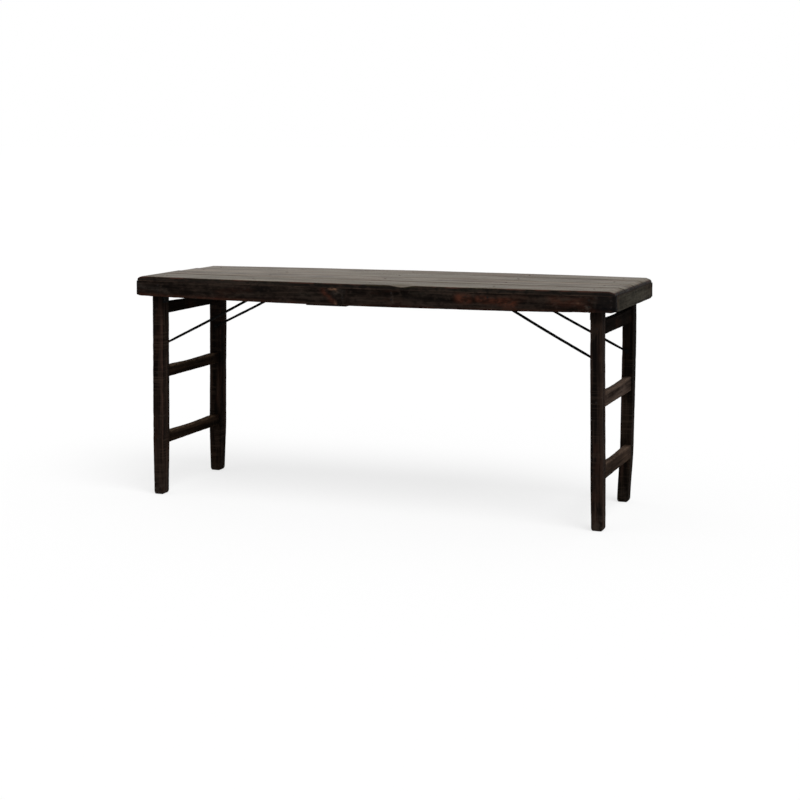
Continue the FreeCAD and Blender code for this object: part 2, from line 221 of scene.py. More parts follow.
def pick(block, kind, rule):
    """Select the points, edges or faces in view that a rule picks out, and no others."""
    bpy.ops.mesh.select_mode(type=kind)
    bpy.ops.mesh.select_all(action="DESELECT")
    mesh = bmesh.from_edit_mesh(block.data)
    items = {"VERT": mesh.verts, "EDGE": mesh.edges, "FACE": mesh.faces}[kind]
    for item in items:
        if not item.hide and rule(item):
            item.select_set(True)
    bmesh.update_edit_mesh(block.data)


# Rules that pick out points, edges and faces

def anywhere(vert):
    """Every point."""
    return True


def below(height):
    """Points below a height."""
    return lambda vert: vert.co.z < height


def above(height):
    """Points above a height."""
    return lambda vert: vert.co.z > height


def around(axis, place):
    """A line of points across one axis."""
    return lambda vert: abs(vert.co[axis] - place) < middle_line


def at_ends(end):
    """Points at both ends of the table."""
    return lambda vert: abs(vert.co.x) > end - end_line


def runs_along(edge, axis):
    """Whether an edge runs along one axis."""
    run = edge.verts[1].co - edge.verts[0].co
    return abs(run[axis]) > mostly * run.length


def lies_at(item, axis, place):
    """Whether all of an edge or face lies at one place on an axis."""
    return all(abs(vert.co[axis] - place) < same_place for vert in item.verts)


# Rounding, cutting and moving

def round_edges(block, rule, size, steps):
    """Round off the edges that a rule picks out."""
    pick(block, "EDGE", rule)
    bpy.ops.mesh.bevel(offset=size, segments=steps, affect="EDGES")


def slice_across(low, high, across, count):
    """Cut the open piece into even slices between two places."""
    for step in range(1, count):
        bpy.ops.mesh.select_all(action="SELECT")
        bpy.ops.mesh.bisect(plane_co=low.lerp(high, step / count), plane_no=across)


def slice_block(low, high, spacings):
    """Cut the open block into slices along all three axes."""
    for axis, spacing in enumerate(spacings):
        across = Vector((0, 0, 0))
        across[axis] = 1
        slice_across(low, high, across, round((high[axis] - low[axis]) / spacing))


def push(block, shown, moved, shift, reach, falloff):
    """Move some of the shown points, drawing their neighbours along within a reach."""
    pick(block, "VERT", shown)
    bpy.ops.mesh.hide(unselected=True)
    pick(block, "VERT", moved)
    bpy.ops.transform.translate(value=shift, use_proportional_edit=reach > 0,
                                proportional_size=max(reach, least_reach),
                                proportional_edit_falloff=falloff)
    bpy.ops.mesh.reveal(select=False)


def keep(block, layer, amounts):
    """Keep an amount on every point of a piece."""
    kept = block.data.attributes.new(layer, "FLOAT", "POINT")
    kept.data.foreach_set("value", numpy.asarray(amounts, dtype=numpy.float32))


def mark_edges(block, low, high, width):
    """Keep on every point how near it lies to an edge of the squared block, and how much it faces up."""
    places = numpy.array([vert.co for vert in block.data.vertices])
    low_gaps = numpy.abs(places - numpy.array(low))
    high_gaps = numpy.abs(places - numpy.array(high))
    gaps = numpy.sort(numpy.concatenate([low_gaps, high_gaps], axis=1), axis=1)
    nearness = numpy.exp(-gaps[:, 1] / width)
    keep(block, "edge_nearness", nearness)
    keep(block, "facing_up", [vert.normal.z for vert in block.data.vertices])
    group = block.vertex_groups.new(name="worn_edges")
    for index, value in enumerate(nearness):
        group.add([index], float(value), "REPLACE")


def wear_texture(name, size, depth, contrast):
    """A cloudy pattern of hollows."""
    clouds = bpy.data.textures.new(name, "CLOUDS")
    clouds.noise_scale = size
    clouds.noise_depth = depth
    clouds.contrast = contrast
    return clouds


broad_hollows = wear_texture("broad_hollows", 0.22, 2, 1.0)
edge_nicks = wear_texture("edge_nicks", 0.018, 2, 2.2)
edge_scallops = wear_texture("edge_scallops", 0.11, 1, 1.4)
hammer_marks = wear_texture("hammer_marks", 0.012, 1, 1.5)


def press_in(block, texture, depth, middle, group):
    """Displace the surface by a cloudy pattern, over all of it or at its worn edges."""
    pressing = block.modifiers.new("pressing", "DISPLACE")
    pressing.texture = texture
    pressing.texture_coords = "LOCAL"
    pressing.strength = depth
    pressing.mid_level = middle
    pressing.vertex_group = group
    bpy.ops.object.modifier_apply(modifier="pressing")


def wear_down(block, low, high, wear, width=wear_width):
    """Close a shaped block, uneven all over and nicked along its edges."""
    hollows, nicks = wear
    bpy.ops.mesh.select_all(action="SELECT")
    bpy.ops.mesh.remove_doubles(threshold=same_point)
    bpy.ops.mesh.normals_make_consistent(inside=False)
    bpy.ops.object.mode_set(mode="OBJECT")
    mark_edges(block, low, high, width)
    press_in(block, broad_hollows, hollows, hollow_middle, "")
    press_in(block, edge_scallops, -nicks, hollow_middle, "worn_edges")
    press_in(block, edge_nicks, -nicks, nick_middle, "worn_edges")
    bpy.ops.object.shade_smooth_by_angle(angle=wood_crease)


def paint(block, layer, strokes):
    """Keep on every point how much of a layer is brushed there by strokes of a width, strength and line."""
    places = numpy.array([vert.co for vert in block.data.vertices])
    amount = numpy.zeros(len(places))
    for width, strength, line in strokes:
        for start, end in zip(line, line[1:]):
            run = numpy.array(end) - numpy.array(start)
            along = numpy.clip((places - numpy.array(start)) @ run / (run @ run), 0, 1)
            away = numpy.linalg.norm(places - numpy.array(start) - along[:, None] * run, axis=1)
            amount = numpy.maximum(amount, strength * numpy.exp(-(away / width) ** 2))
    keep(block, layer, amount)


def join(pieces):
    """Make one piece of several."""
    bpy.ops.object.select_all(action="DESELECT")
    for piece in pieces:
        piece.select_set(True)
    bpy.context.view_layer.objects.active = pieces[0]
    bpy.ops.object.join()
    return pieces[0]


def middle_of(node):
    """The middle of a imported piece."""
    low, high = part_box(node)
    return (low + high) / 2


def stand_for(block, body, slot, *nodes):
    """Let a modelled piece take the place of packed ones."""
    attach(block, body)
    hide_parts(*nodes)
    return block


# The boards of the top

def twist(block, middle_x):
    """Turn an open piece of the top a little about its length at one place, drawing the rest along."""
    pick(block, "VERT", around(0, middle_x))
    bpy.ops.transform.rotate(value=-top_twist, orient_axis="X", center_override=(0, 0, table_top),
                             use_proportional_edit=True, proportional_size=half_length,
                             proportional_edit_falloff="INVERSE_SQUARE")


def on_outline(vert, corner):
    """Whether a point lies on the outline of the whole top."""
    x = abs(vert.co.x)
    y = abs(vert.co.y)
    at_end = abs(x - corner.x) < same_place
    at_face = abs(y - corner.y) < same_place
    past_round = x > corner.x - top_corner_round and y > corner.y - top_corner_round
    return at_end or at_face or past_round


def top_board(name):
    """One board, its outer edges worn round and its edges at the seams left sharper."""
    low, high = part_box(name)
    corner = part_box("back_board")[1]
    block = start_block(name + "_worn", low, high)

    def at_corner(edge):
        return runs_along(edge, 2) and abs(abs(edge.verts[0].co.y) - corner.y) < same_place

    def at_rim(edge):
        return lies_at(edge, 2, high.z) and all(on_outline(vert, corner) for vert in edge.verts)

    def at_seam(edge):
        if not (runs_along(edge, 0) and lies_at(edge, 2, high.z) and edge.is_manifold):
            return False
        inside = abs(abs(edge.verts[0].co.y) - corner.y) > top_corner_round
        return inside and edge.calc_face_angle(0) > sharp_angle

    round_edges(block, at_corner, top_corner_round, corner_steps)
    round_edges(block, at_rim, top_edge_round, arris_steps)
    round_edges(block, at_seam, seam_arris, seam_steps)
    slice_block(low, high, board_slices)
    if name == "front_board":
        push(block, above(low.z + scoop_bed),
             lambda vert: abs(vert.co.x - scoop_x) < scoop_line and vert.co.y < low.y + scoop_line_depth,
             (0, 0, -scoop_depth), scoop_reach, "SMOOTH")
    push(block, above(high.z - end_dip_height), at_ends(high.x), (0, 0, -end_dip), end_dip_reach, "SMOOTH")
    twist(block, 0.0)
    if name in BACK_DIP:
        push(block, anywhere, lambda vert: vert.co.x < low.x + back_dip_line,
             (0, 0, -BACK_DIP[name]), back_dip_reach, "LINEAR")
    wear_down(block, Vector((-corner.x, -corner.y, low.z)), corner, board_wear, board_wear_width)
    return stand_for(block, "top", "weathered_top", name)


# The rails round the top

def let_sag(block, low, middle_x, drop, reach, falloff):
    """Let the lower edge of an open rail sag towards one place along it."""
    push(block, below(low.z + rail_sag_height), around(0, middle_x), (0, 0, -drop), reach, falloff)


def long_rail(name, middle_x):
    """A length of the front or back rail, rounded where it turns the table's corner."""
    low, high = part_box(name)
    low.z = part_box("right_end_rail")[0].z - rail_drop
    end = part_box("back_rail")[1].x + rail_end_proud
    low.x -= rail_end_proud * (name != "front_rail_right")
    high.x += rail_end_proud * (name != "front_rail_left")
    outer_y = low.y if low.y < 0 else high.y
    block = start_block(name + "_worn", low, high)

    def at_corner(edge):
        place = edge.verts[0].co
        outer = abs(place.y - outer_y) < same_place and abs(abs(place.x) - end) < same_place
        return outer and runs_along(edge, 2)

    round_edges(block, at_corner, rail_corner_round, corner_steps)
    round_edges(block, lambda edge: lies_at(edge, 2, low.z), rail_arris, arris_steps)
    slice_block(low, high, rail_slices)
    let_sag(block, low, middle_x, rail_belly, end - abs(middle_x), "INVERSE_SQUARE")
    push(block, below(low.z + rail_end_lift_height), at_ends(end),
         (0, 0, rail_end_lift), rail_end_lift_reach, "SMOOTH")
    if name == "front_rail_left":
        push(block, lambda vert: vert.co.z < low.z + lip_height and vert.co.x > high.x - lip_length,
             anywhere, (0, 0, -lip_drop), 0, "CONSTANT")
    if name == "front_rail_right":
        let_sag(block, low, right_sag_x, right_sag, right_sag_reach, "SMOOTH")
    twist(block, middle_x)
    wear_down(block, low, high, rail_wear)
    return stand_for(block, "top", "dark_rail_wood", name)


def end_rail(name):
    """A rail across one end of the top."""
    low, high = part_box(name)
    low.x -= rail_end_proud * (low.x < 0)
    high.x += rail_end_proud * (low.x > 0)
    low.z -= rail_drop
    block = start_block(name + "_worn", low, high)
    round_edges(block, lambda edge: lies_at(edge, 2, low.z) and runs_along(edge, 1), rail_arris, arris_steps)
    slice_block(low, high, end_rail_slices)
    wear_down(block, low, high, end_rail_wear)
    return stand_for(block, "top", "dark_rail_wood", name)


# The leg frames

def draw_out_foot(block, drop, width, depth):
    """Draw the lowest face of an open leg further down and bring it to a size."""
    lowest = next(face for face in bmesh.from_edit_mesh(block.data).faces if face.select)
    middle = lowest.calc_center_median()
    across = [vert.co - middle for vert in lowest.verts]
    half_x = max(abs(place.x) for place in across)
    half_y = max(abs(place.y) for place in across)
    bpy.ops.mesh.extrude_region_move(TRANSFORM_OT_translate={"value": (0, 0, -drop)})
    bpy.ops.transform.resize(value=(width / 2 / half_x, depth / 2 / half_y, 1),
                             center_override=middle - Vector((0, 0, drop)))


def leg(side, face):
    """A leg: straight to below its last rung, then tapered to a foot with its edges off."""
    name = f"{side}_{face}_leg"
    low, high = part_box(name)
    taper_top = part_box(f"{side}_lower_rung")[0].z - taper_below_rung
    width = FOOT_WIDTH[side, face]
    first_drop = foot_bevel_height * foot_first_drop_share
    first_inset = foot_bevel * foot_first_inset_share
    last_drop = foot_bevel_height - first_drop - foot_lift
    block = start_block(name + "_worn", Vector((low.x, low.y, taper_top)), high)
    pick(block, "FACE", lambda item: lies_at(item, 2, taper_top))
    draw_out_foot(block, taper_top - foot_bevel_height, width, foot_depth)
    draw_out_foot(block, first_drop, width - first_inset, foot_depth - first_inset)
    draw_out_foot(block, last_drop, width - foot_bevel, foot_depth - foot_bevel)
    round_edges(block, lambda edge: runs_along(edge, 2), leg_arris, arris_steps)
    slice_block(low, high, leg_slices)
    push(block, anywhere, below(foot_line), (LEG_LEAN[side, face], 0, 0), lean_reach, "LINEAR")
    if (side, face) == ("right", "back"):
        push(block, anywhere, below(foot_line), (foot_kick, 0, 0), foot_kick_reach, "SMOOTH")
    wear_down(block, low, high, leg_wear)
    return stand_for(block, f"{side}_frame", "dark_leg_wood", name)


def rung(side, level):
    """A rung, its upper edge hollowed by use."""
    name = f"{side}_{level}_rung"
    low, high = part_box(name)
    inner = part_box(f"{side}_back_leg")[0].y + rung_entry
    low.y = -inner
    high.y = inner
    low.z -= rung_sag
    block = start_block(name + "_worn", low, high)
    round_edges(block, lambda edge: runs_along(edge, 1), rung_arris, arris_steps)
    slice_block(low, high, rung_slices)
    push(block, above(high.z - rung_hollow_height), around(1, 0.0),
         (0, 0, -rung_hollow), rung_hollow_reach, "SMOOTH")
    wear_down(block, low, high, rung_wear)
    return stand_for(block, f"{side}_frame", "dark_leg_wood", name)


# The iron stays

def stay_rod(name, start, end):
    """The rod of a stay, a little bowed and drawn down towards its hook."""
    run = end - start
    middle = (start + end) / 2
    reach = run.length / 2
    middle_part = reach / stay_slices * stay_pick_share
    bpy.ops.mesh.primitive_cylinder_add(vertices=stay_facets, radius=stay_radius, depth=run.length,
                                        location=middle, rotation=run.to_track_quat("Z", "Y").to_euler())
    rod = open_new(name)
    slice_across(start, end, run, stay_slices)
    push(rod, anywhere, lambda vert: (vert.co - middle).length < middle_part,
         (0, 0, -stay_bow), reach, "SMOOTH")
    pick(rod, "VERT", lambda vert: (vert.co - end).length < stay_radius * stay_pick_share)
    bpy.ops.transform.resize(value=(stay_end_share, stay_end_share, stay_end_share), center_override=end,
                             use_proportional_edit=True, proportional_size=stay_end_reach,
                             proportional_edit_falloff="SMOOTH")
    bpy.ops.object.mode_set(mode="OBJECT")
    return rod


def stay_eye(name, place):
    """The eye that turns on the staple."""
    bpy.ops.mesh.primitive_torus_add(major_segments=eye_segments, minor_segments=bar_facets,
                                     major_radius=eye_radius, minor_radius=eye_bar,
                                     location=place, rotation=(math.pi / 2, 0, 0))
    eye = open_new(name)
    bpy.ops.mesh.select_all(action="SELECT")
    bpy.ops.transform.resize(value=(1, eye_flare, 1), center_override=place)
    bpy.ops.object.mode_set(mode="OBJECT")
    return eye


def stay_hook(name, place, turn, opening):
    """The hook under the peg, open in one direction."""
    first = opening + math.pi - hook_sweep / 2
    outward = Vector((turn * math.cos(first), 0, math.sin(first)))
    across = Vector((-turn * math.sin(first), 0, math.cos(first)))
    bpy.ops.mesh.primitive_circle_add(vertices=bar_facets, radius=hook_bar, fill_type="NGON",
                                      location=place + outward * hook_radius,
                                      rotation=across.to_track_quat("Z", "Y").to_euler())
    hook = open_new(name)
    bpy.ops.mesh.select_all(action="SELECT")
    bpy.ops.mesh.spin(steps=hook_steps, angle=-turn * hook_sweep, center=place, axis=(0, 1, 0))
    bpy.ops.mesh.select_all(action="SELECT")
    bpy.ops.mesh.normals_make_consistent(inside=False)
    bpy.ops.object.mode_set(mode="OBJECT")
    return hook


def stay(side, face):
    """A forged stay: an eye round the staple, a rod, and a hook that the peg leaves as the frame folds."""
    corner = f"{side}_{face}"
    turn = 1 if side == "right" else -1
    name = corner + "_stay"
    level = middle_of(name).y
    staple_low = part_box(corner + "_stay_staple")[0]
    pivot = Vector((middle_of(corner + "_stay_staple").x, level, staple_low.z + staple_half))
    peg = middle_of(corner + "_stay_peg")
    peg.y = level
    frame_arm = peg - middle_of(corner + "_hinge_pin")
    stay_arm = peg - pivot
    ratio = 2 - 2 / math.pi * math.atan2(-stay_arm.z, turn * stay_arm.x)
    opening = math.atan2(turn * (ratio * stay_arm.x - frame_arm.x), frame_arm.z - ratio * stay_arm.z)
    along = stay_arm.normalized()
    forged = join([
        stay_rod(name + "_forged", pivot + along * eye_radius, peg - along * hook_radius),
        stay_eye(name + "_eye", pivot),
        stay_hook(name + "_hook", peg, turn, opening),
    ])
    press_in(forged, hammer_marks, stay_hammering, hammer_middle, "")
    bpy.ops.object.shade_smooth_by_angle(angle=iron_crease)
    return stand_for(forged, name, "black_iron", name)


# Forged nails

def nail_pattern():
    """One forged head, hammered to four slopes, its rim at the origin."""
    half = nail_head_size / 2
    head = start_block("nail_pattern", Vector((-half, -half, -nail_head_height)), Vector((half, half, 0)))
    round_edges(head, lambda edge: runs_along(edge, 2), nail_head_size * nail_corner_share, nail_corner_steps)
    pick(head, "FACE", lambda item: lies_at(item, 2, 0))
    bpy.ops.mesh.inset(thickness=nail_head_size * nail_slope_share)
    peak_x = nail_head_size * nail_peak_share_x
    peak_y = nail_head_size * nail_peak_share_y
    bpy.ops.transform.translate(value=(peak_x, peak_y, nail_head_peak))
    bpy.ops.object.mode_set(mode="OBJECT")
    return head


def drive_nails(pattern, name, body, places):
    """Copies of the nail pattern at several places, each driven in along its own direction."""
    copies = []
    for index, (point, outward) in enumerate(places):
        bpy.ops.object.select_all(action="DESELECT")
        pattern.select_set(True)
        bpy.context.view_layer.objects.active = pattern
        bpy.ops.object.duplicate(linked=False)
        copy = bpy.context.object
        copy.rotation_mode = "QUATERNION"
        copy.rotation_quaternion = Quaternion(outward, nail_turn * index) @ outward.to_track_quat("Z", "Y")
        copy.location = point + outward * nail_proud
        copies.append(copy)
    heads = join(copies)
    bpy.ops.object.transform_apply(location=True, rotation=True, scale=True)
    heads.name = name + "_heads"
    heads.data.name = name + "_heads"
    return stand_for(heads, body, "nail_iron", name)


def board_nail_places():
    """Nails through the boards into the timbers under them, following the twist and the dip of the top."""
    places = []
    for timber in CROSS_TIMBERS + ["centre_batten"]:
        for board in BOARDS:
            place = Vector((middle_of(timber).x, middle_of(board).y, table_top))
            place.z += top_twist * place.y * (1 - (place.x / half_length) ** 2)
            place.z -= BACK_DIP.get(board, 0) * max(0, 1 - (place.x + half_length) / back_dip_reach)
            places.append((place, Vector((0, 0, 1))))
    return places


def rail_nail_places():
    """Nails through the long rails into the timbers behind them, and on both sides of the joint in front."""
    front_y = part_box("front_rail_left")[0].y
    back_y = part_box("back_rail")[1].y
    forward = Vector((0, -1, 0))
    backward = Vector((0, 1, 0))
    places = []
    for timber in END_RAILS + CROSS_TIMBERS:
        low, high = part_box(timber)
        x = middle_of(timber).x
        for share in batten_nail_shares if "batten" in timber else rail_nail_shares:
            z = low.z + share * (high.z - low.z)
            places.append((Vector((x, front_y, z)), forward))
            places.append((Vector((x, back_y, z)), backward))
    places.append((Vector((0, back_y, middle_of("centre_batten").z)), backward))
    low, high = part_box("right_end_rail")
    for x in joint_nail_x:
        for share in rail_nail_shares:
            places.append((Vector((x, front_y, low.z + share * (high.z - low.z))), forward))
    return places


def rung_nail_places(side):
    """Nails through both legs of a frame into the ends of its rungs."""
    outer_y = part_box(f"{side}_back_leg")[1].y
    places = []
    for level in RUNGS:
        middle = middle_of(f"{side}_{level}_rung")
        for turn in (-1, 1):
            places.append((Vector((middle.x, turn * outer_y, middle.z)), Vector((0, turn, 0))))
    return places


# Colours of the finishes

def shade(red, green, blue):
    """A colour from its usual 0 to 255 values."""
    linear = []
    for value in (red / 255, green / 255, blue / 255):
        linear.append(value / 12.92 if value <= 0.04045 else ((value + 0.055) / 1.055) ** 2.4)
    return (*linear, 1.0)


def halfway(first, second):
    """The colour half-way between two others."""
    return tuple(0.5 * (one + other) for one, other in zip(first, second))


def brighter(colour, times):
    """A colour made several times as bright."""
    return tuple(min(1.0, times * part) for part in colour)


BLACK = (0, 0, 0, 1)
WHITE = (1, 1, 1, 1)
# Near-black brown: real dark mottle on the boards' sides, and painted shade on the legs and rungs.
SOOT_AND_SHADE = shade(9, 7, 6)

# Dark, middle and pale shades of each kind of wood
# The boards' shades are lighter than the sides', partly weathered grey and partly a painted sheen.
BOARD_SHADES = (shade(54, 45, 37), shade(86, 77, 64), shade(112, 103, 90))
UNDER_SHADES = (shade(20, 15, 12), shade(40, 31, 25), shade(62, 50, 40))
RAIL_SHADES = (shade(8, 6, 5), shade(21, 16, 13), shade(42, 34, 29))
END_SHADES = (shade(22, 20, 16), shade(40, 37, 30), shade(56, 53, 45))
LEG_SHADES = {
    ("left", "front"): (shade(10, 7, 6), shade(24, 18, 15), shade(46, 35, 29)),
    ("left", "back"): (shade(7, 5, 4), shade(20, 14, 11), shade(40, 29, 23)),
    ("right", "front"): (shade(13, 10, 9), shade(34, 26, 22), shade(58, 46, 39)),
    ("right", "back"): (shade(6, 4, 3), shade(15, 11, 8), shade(34, 26, 20)),
}
# The upper rungs sit in the shade under the top and are painted near-black for it: painted shade.
SHADED_UPPER_RUNG = (shade(5, 3, 2), shade(10, 7, 5), shade(19, 13, 10))
TAN_RUNG = (shade(9, 6, 4), shade(22, 15, 11), shade(42, 30, 22))
BROWN_RUNG = (shade(8, 5, 3), shade(17, 12, 8), shade(34, 24, 17))
GREY_RUNG = (shade(16, 12, 9), shade(40, 31, 25), shade(64, 51, 42))
PALE_RUNG = (shade(24, 18, 15), shade(56, 46, 40), shade(82, 69, 61))
RUNG_SHADES = {
    ("left", "upper"): SHADED_UPPER_RUNG, ("left", "middle"): BROWN_RUNG, ("left", "lower"): TAN_RUNG,
    ("right", "upper"): SHADED_UPPER_RUNG, ("right", "middle"): PALE_RUNG, ("right", "lower"): GREY_RUNG,
}

# Colours and amounts of wear, of painted shade and of painted highlights
# The upper rungs' edges get a darker rub colour: painted shade under the top.
RUNG_RUBBED = {"upper": shade(22, 17, 13), "middle": shade(60, 47, 37), "lower": shade(60, 47, 37)}
# Pale colour of the rungs' upper sides: partly scuffing, partly a painted highlight.
RUNG_SCUFF_AND_HIGHLIGHT = {"left": shade(110, 90, 72), "right": shade(92, 77, 66)}
LEG_SAWN = {"left": 0.5, "right": 0.3}
rung_sawn = 0.15
FOOT_SCUFFED = {"front": 0.6, "back": 0.3}
foot_scuff_height = 0.09
# Heights between which each leg is painted darker towards the top: painted shade under the table top.
LEG_SHADE_UNDER_TOP = {
    ("left", "front"): (0.62, 0.72), ("left", "back"): (0.36, 0.56),
    ("right", "front"): (0.62, 0.72), ("right", "back"): (0.50, 0.66),
}
DARK_CORNER = (0.780, 0.815)
RAIL_END = (0.846, 0.853)
END_RAIL_CORNER = (0.215, 0.270)

# How strong and how deep the relief of each kind of surface is, and how much it mirrors
BOARD_SURFACE = (0.55, 0.0011, 0.03)
RAIL_SURFACE = (0.7, 0.0014, 0.008)
LEG_SURFACE = (0.6, 0.0012, 0.004)
RUNG_SURFACE = (0.6, 0.0012, 0.0015)
IRON_SURFACE = (0.5, 0.0007, 0.015)
board_roughness = 0.42
dark_wood_roughness = 0.7
roughness_swing = 0.2

# Where the patterns of each piece start, so that no two pieces look alike
shift_shares = (1.0, 1.7, 0.6)
board_shift = 2.3
board_shift_step = 5.1
front_rail_shift = 4.0
back_rail_shift = 61.0
end_rail_shift = 71.0
end_rail_shift_step = 9.0
leg_shift = 83.0
leg_shift_step = 7.0
rung_shift = 131.0
rung_shift_step = 5.0
frame_shift_step = 20.0
underside_shift = 151.0
stay_shift = 0.0
nail_shift = 9.0
rubbed_nail_shift = 12.0


# Finishes, each put together from patterns that follow the piece's own coordinates

def add_node(tree, kind, inputs, **settings):
    """Add a node to a tree, setting or joining its inputs."""
    node = tree.nodes.new(kind)
    for key, value in settings.items():
        setattr(node, key, value)
    for key, value in inputs.items():
        if isinstance(value, bpy.types.NodeSocket):
            tree.links.new(value, node.inputs[key])
        else:
            node.inputs[key].default_value = value
    return node


class Finish:
    """A finish in the making: its colour, roughness and height are built up, then closed."""

    def __init__(self, name):
        self.material = bpy.data.materials.new(name)
        self.material.use_nodes = True
        self.tree = self.material.node_tree
        self.shader = self.tree.nodes["Principled BSDF"]
        self.place = self.tree.nodes.new("ShaderNodeTexCoord").outputs["Object"]
        self.colour = None
        self.rough = None
        self.height = None

    def add(self, kind, inputs, **settings):
        """Add a node, setting or joining its inputs."""
        return add_node(self.tree, kind, inputs, **settings)

    def noise(self, stretch, shift, detail=4.0, roughness=0.55, distortion=0.0):
        """A cloudy pattern, drawn out by different amounts along the axes."""
        start = [share * shift for share in shift_shares]
        placed = self.add("ShaderNodeMapping", {"Vector": self.place, "Scale": stretch, "Location": start})
        return self.add("ShaderNodeTexNoise", {"Vector": placed.outputs[0], "Scale": 1.0, "Detail": detail,
                                               "Roughness": roughness, "Distortion": distortion}).outputs[0]

    def ramp(self, value, *stops):
        """Colours or greys along a pattern."""
        node = self.add("ShaderNodeValToRGB", {"Fac": value})
        marks = node.color_ramp.elements
        marks[0].position, marks[0].color = stops[0]
        marks[1].position, marks[1].color = stops[-1]
        for position, colour in stops[1:-1]:
            marks.new(position).color = colour
        return node.outputs[0]

    def between(self, value, start, end):
        """A soft step from 0 to 1 as a pattern goes from one level to another."""
        return self.add("ShaderNodeMapRange", {"Value": value, "From Min": start, "From Max": end},
                        interpolation_type="SMOOTHSTEP").outputs[0]

    def span(self, value, low, high):
        """A pattern spread between two levels."""
        return self.add("ShaderNodeMapRange", {"Value": value, "To Min": low, "To Max": high}).outputs[0]

    def maths(self, operation, first, second):
        """Two patterns put together."""
        return self.add("ShaderNodeMath", {0: first, 1: second}, operation=operation).outputs[0]

    def times(self, first, second):
        """Two patterns multiplied."""
        return self.maths("MULTIPLY", first, second)

    def mix(self, amount, first, second):
        """Two colours mixed."""
        return self.add("ShaderNodeMix", {0: amount, 6: first, 7: second}, data_type="RGBA").outputs[2]

    def axis(self, name):
        """The place along one axis."""
        return self.add("ShaderNodeSeparateXYZ", {0: self.place}).outputs[name]

    def from_middle(self, name):
        """How far from the middle a place along one axis is."""
        return self.maths("ABSOLUTE", self.axis(name), 0.0)

    def kept(self, layer):
        """An amount that the piece keeps on its points."""
        return self.add("ShaderNodeAttribute", {}, attribute_name=layer).outputs["Fac"]

    def lay(self, amount, strength, colour, rise=0.0, rougher=0.0):
        """Lay a colour over part of the finish, with a rise and a change of roughness there."""
        amount = self.times(amount, strength)
        self.colour = self.mix(amount, self.colour, colour)
        if rise:
            self.height = self.maths("ADD", self.height, self.times(amount, rise))
        if rougher:
            self.rough = self.maths("ADD", self.rough, self.times(amount, rougher))

    def lay_where(self, pattern, levels, strength, colour, rise=0.0, rougher=0.0, within=None):
        """Lay a colour where a pattern goes from one level to another, everywhere or within a part."""
        amount = self.between(pattern, *levels)
        if within is not None:
            amount = self.times(within, amount)
        self.lay(amount, strength, colour, rise, rougher)

    def brush(self, layer, strength, colour, grain, shift, rise=0.0):
        """Lay a brushed layer, broken up by a pattern."""
        patches = self.between(self.noise(grain, shift, 5.0, 0.65), 0.38, 0.62)
        amount = self.times(self.kept(layer), self.span(patches, 0.2, 1.0))
        self.lay(amount, strength, colour, rise)

    def close(self, bump, depth, specular):
        """Join the colour, roughness and height to the shader."""
        relief = self.add("ShaderNodeBump", {"Height": self.height, "Strength": bump, "Distance": depth})
        self.tree.links.new(self.colour, self.shader.inputs["Base Color"])
        self.tree.links.new(self.rough, self.shader.inputs["Roughness"])
        self.tree.links.new(relief.outputs[0], self.shader.inputs["Normal"])
        self.shader.inputs["Specular IOR Level"].default_value = specular
        return self.material


def drawn_out(axis, along, across):
    """The stretch of a pattern that follows the grain along one axis."""
    stretch = [across, across, across]
    stretch[axis] = along
    return stretch


def bare_wood(name, axis, shades, shift, roughness):
    """Old wood: streaks, fibres and drying cracks along its grain."""
    finish = Finish(name)
    streaks = finish.noise(drawn_out(axis, 2.2, 58), shift, 7.0, 0.66, 0.3)
    fibres = finish.noise(drawn_out(axis, 16, 560), shift + 3, 3.0, 0.6)
    blotches = finish.noise(drawn_out(axis, 7, 17), shift + 7, 5.0, 0.62)
    cracking = finish.noise(drawn_out(axis, 1.1, 88), shift + 11, 2.0, 0.5, 0.15)
    dark, middle, pale = shades
    finish.colour = finish.ramp(streaks, (0.37, dark), (0.5, middle), (0.63, pale))
    finish.lay_where(fibres, (0.45, 0.7), 0.4, dark)
    finish.lay_where(blotches, (0.5, 0.66), 0.6, dark)
    finish.lay_where(blotches, (0.45, 0.33), 0.3, pale)
    split = finish.ramp(cracking, (0.485, BLACK), (0.497, WHITE), (0.503, WHITE), (0.515, BLACK))
    broken = finish.between(finish.noise(drawn_out(axis, 4, 30), shift + 17, 2.0), 0.5, 0.62)
    split = finish.times(split, broken)
    grain = finish.maths("ADD", finish.times(streaks, 0.5), finish.times(fibres, 0.35))
    finish.height = finish.maths("SUBTRACT", grain, split)
    finish.rough = finish.span(streaks, roughness + roughness_swing, roughness - roughness_swing)
    finish.lay(split, 0.8, shade(8, 6, 5))
    return finish


def rub_edges(finish, colour, amount, shift):
    """Show paler wood where the edges have been rubbed."""
    uneven = finish.span(finish.noise((38, 38, 38), shift, 4.0, 0.65), 0.1, 1.5)
    rubbed = finish.times(finish.kept("edge_nearness"), uneven)
    finish.lay_where(rubbed, (0.42, 0.9), amount, colour, rougher=-0.1)


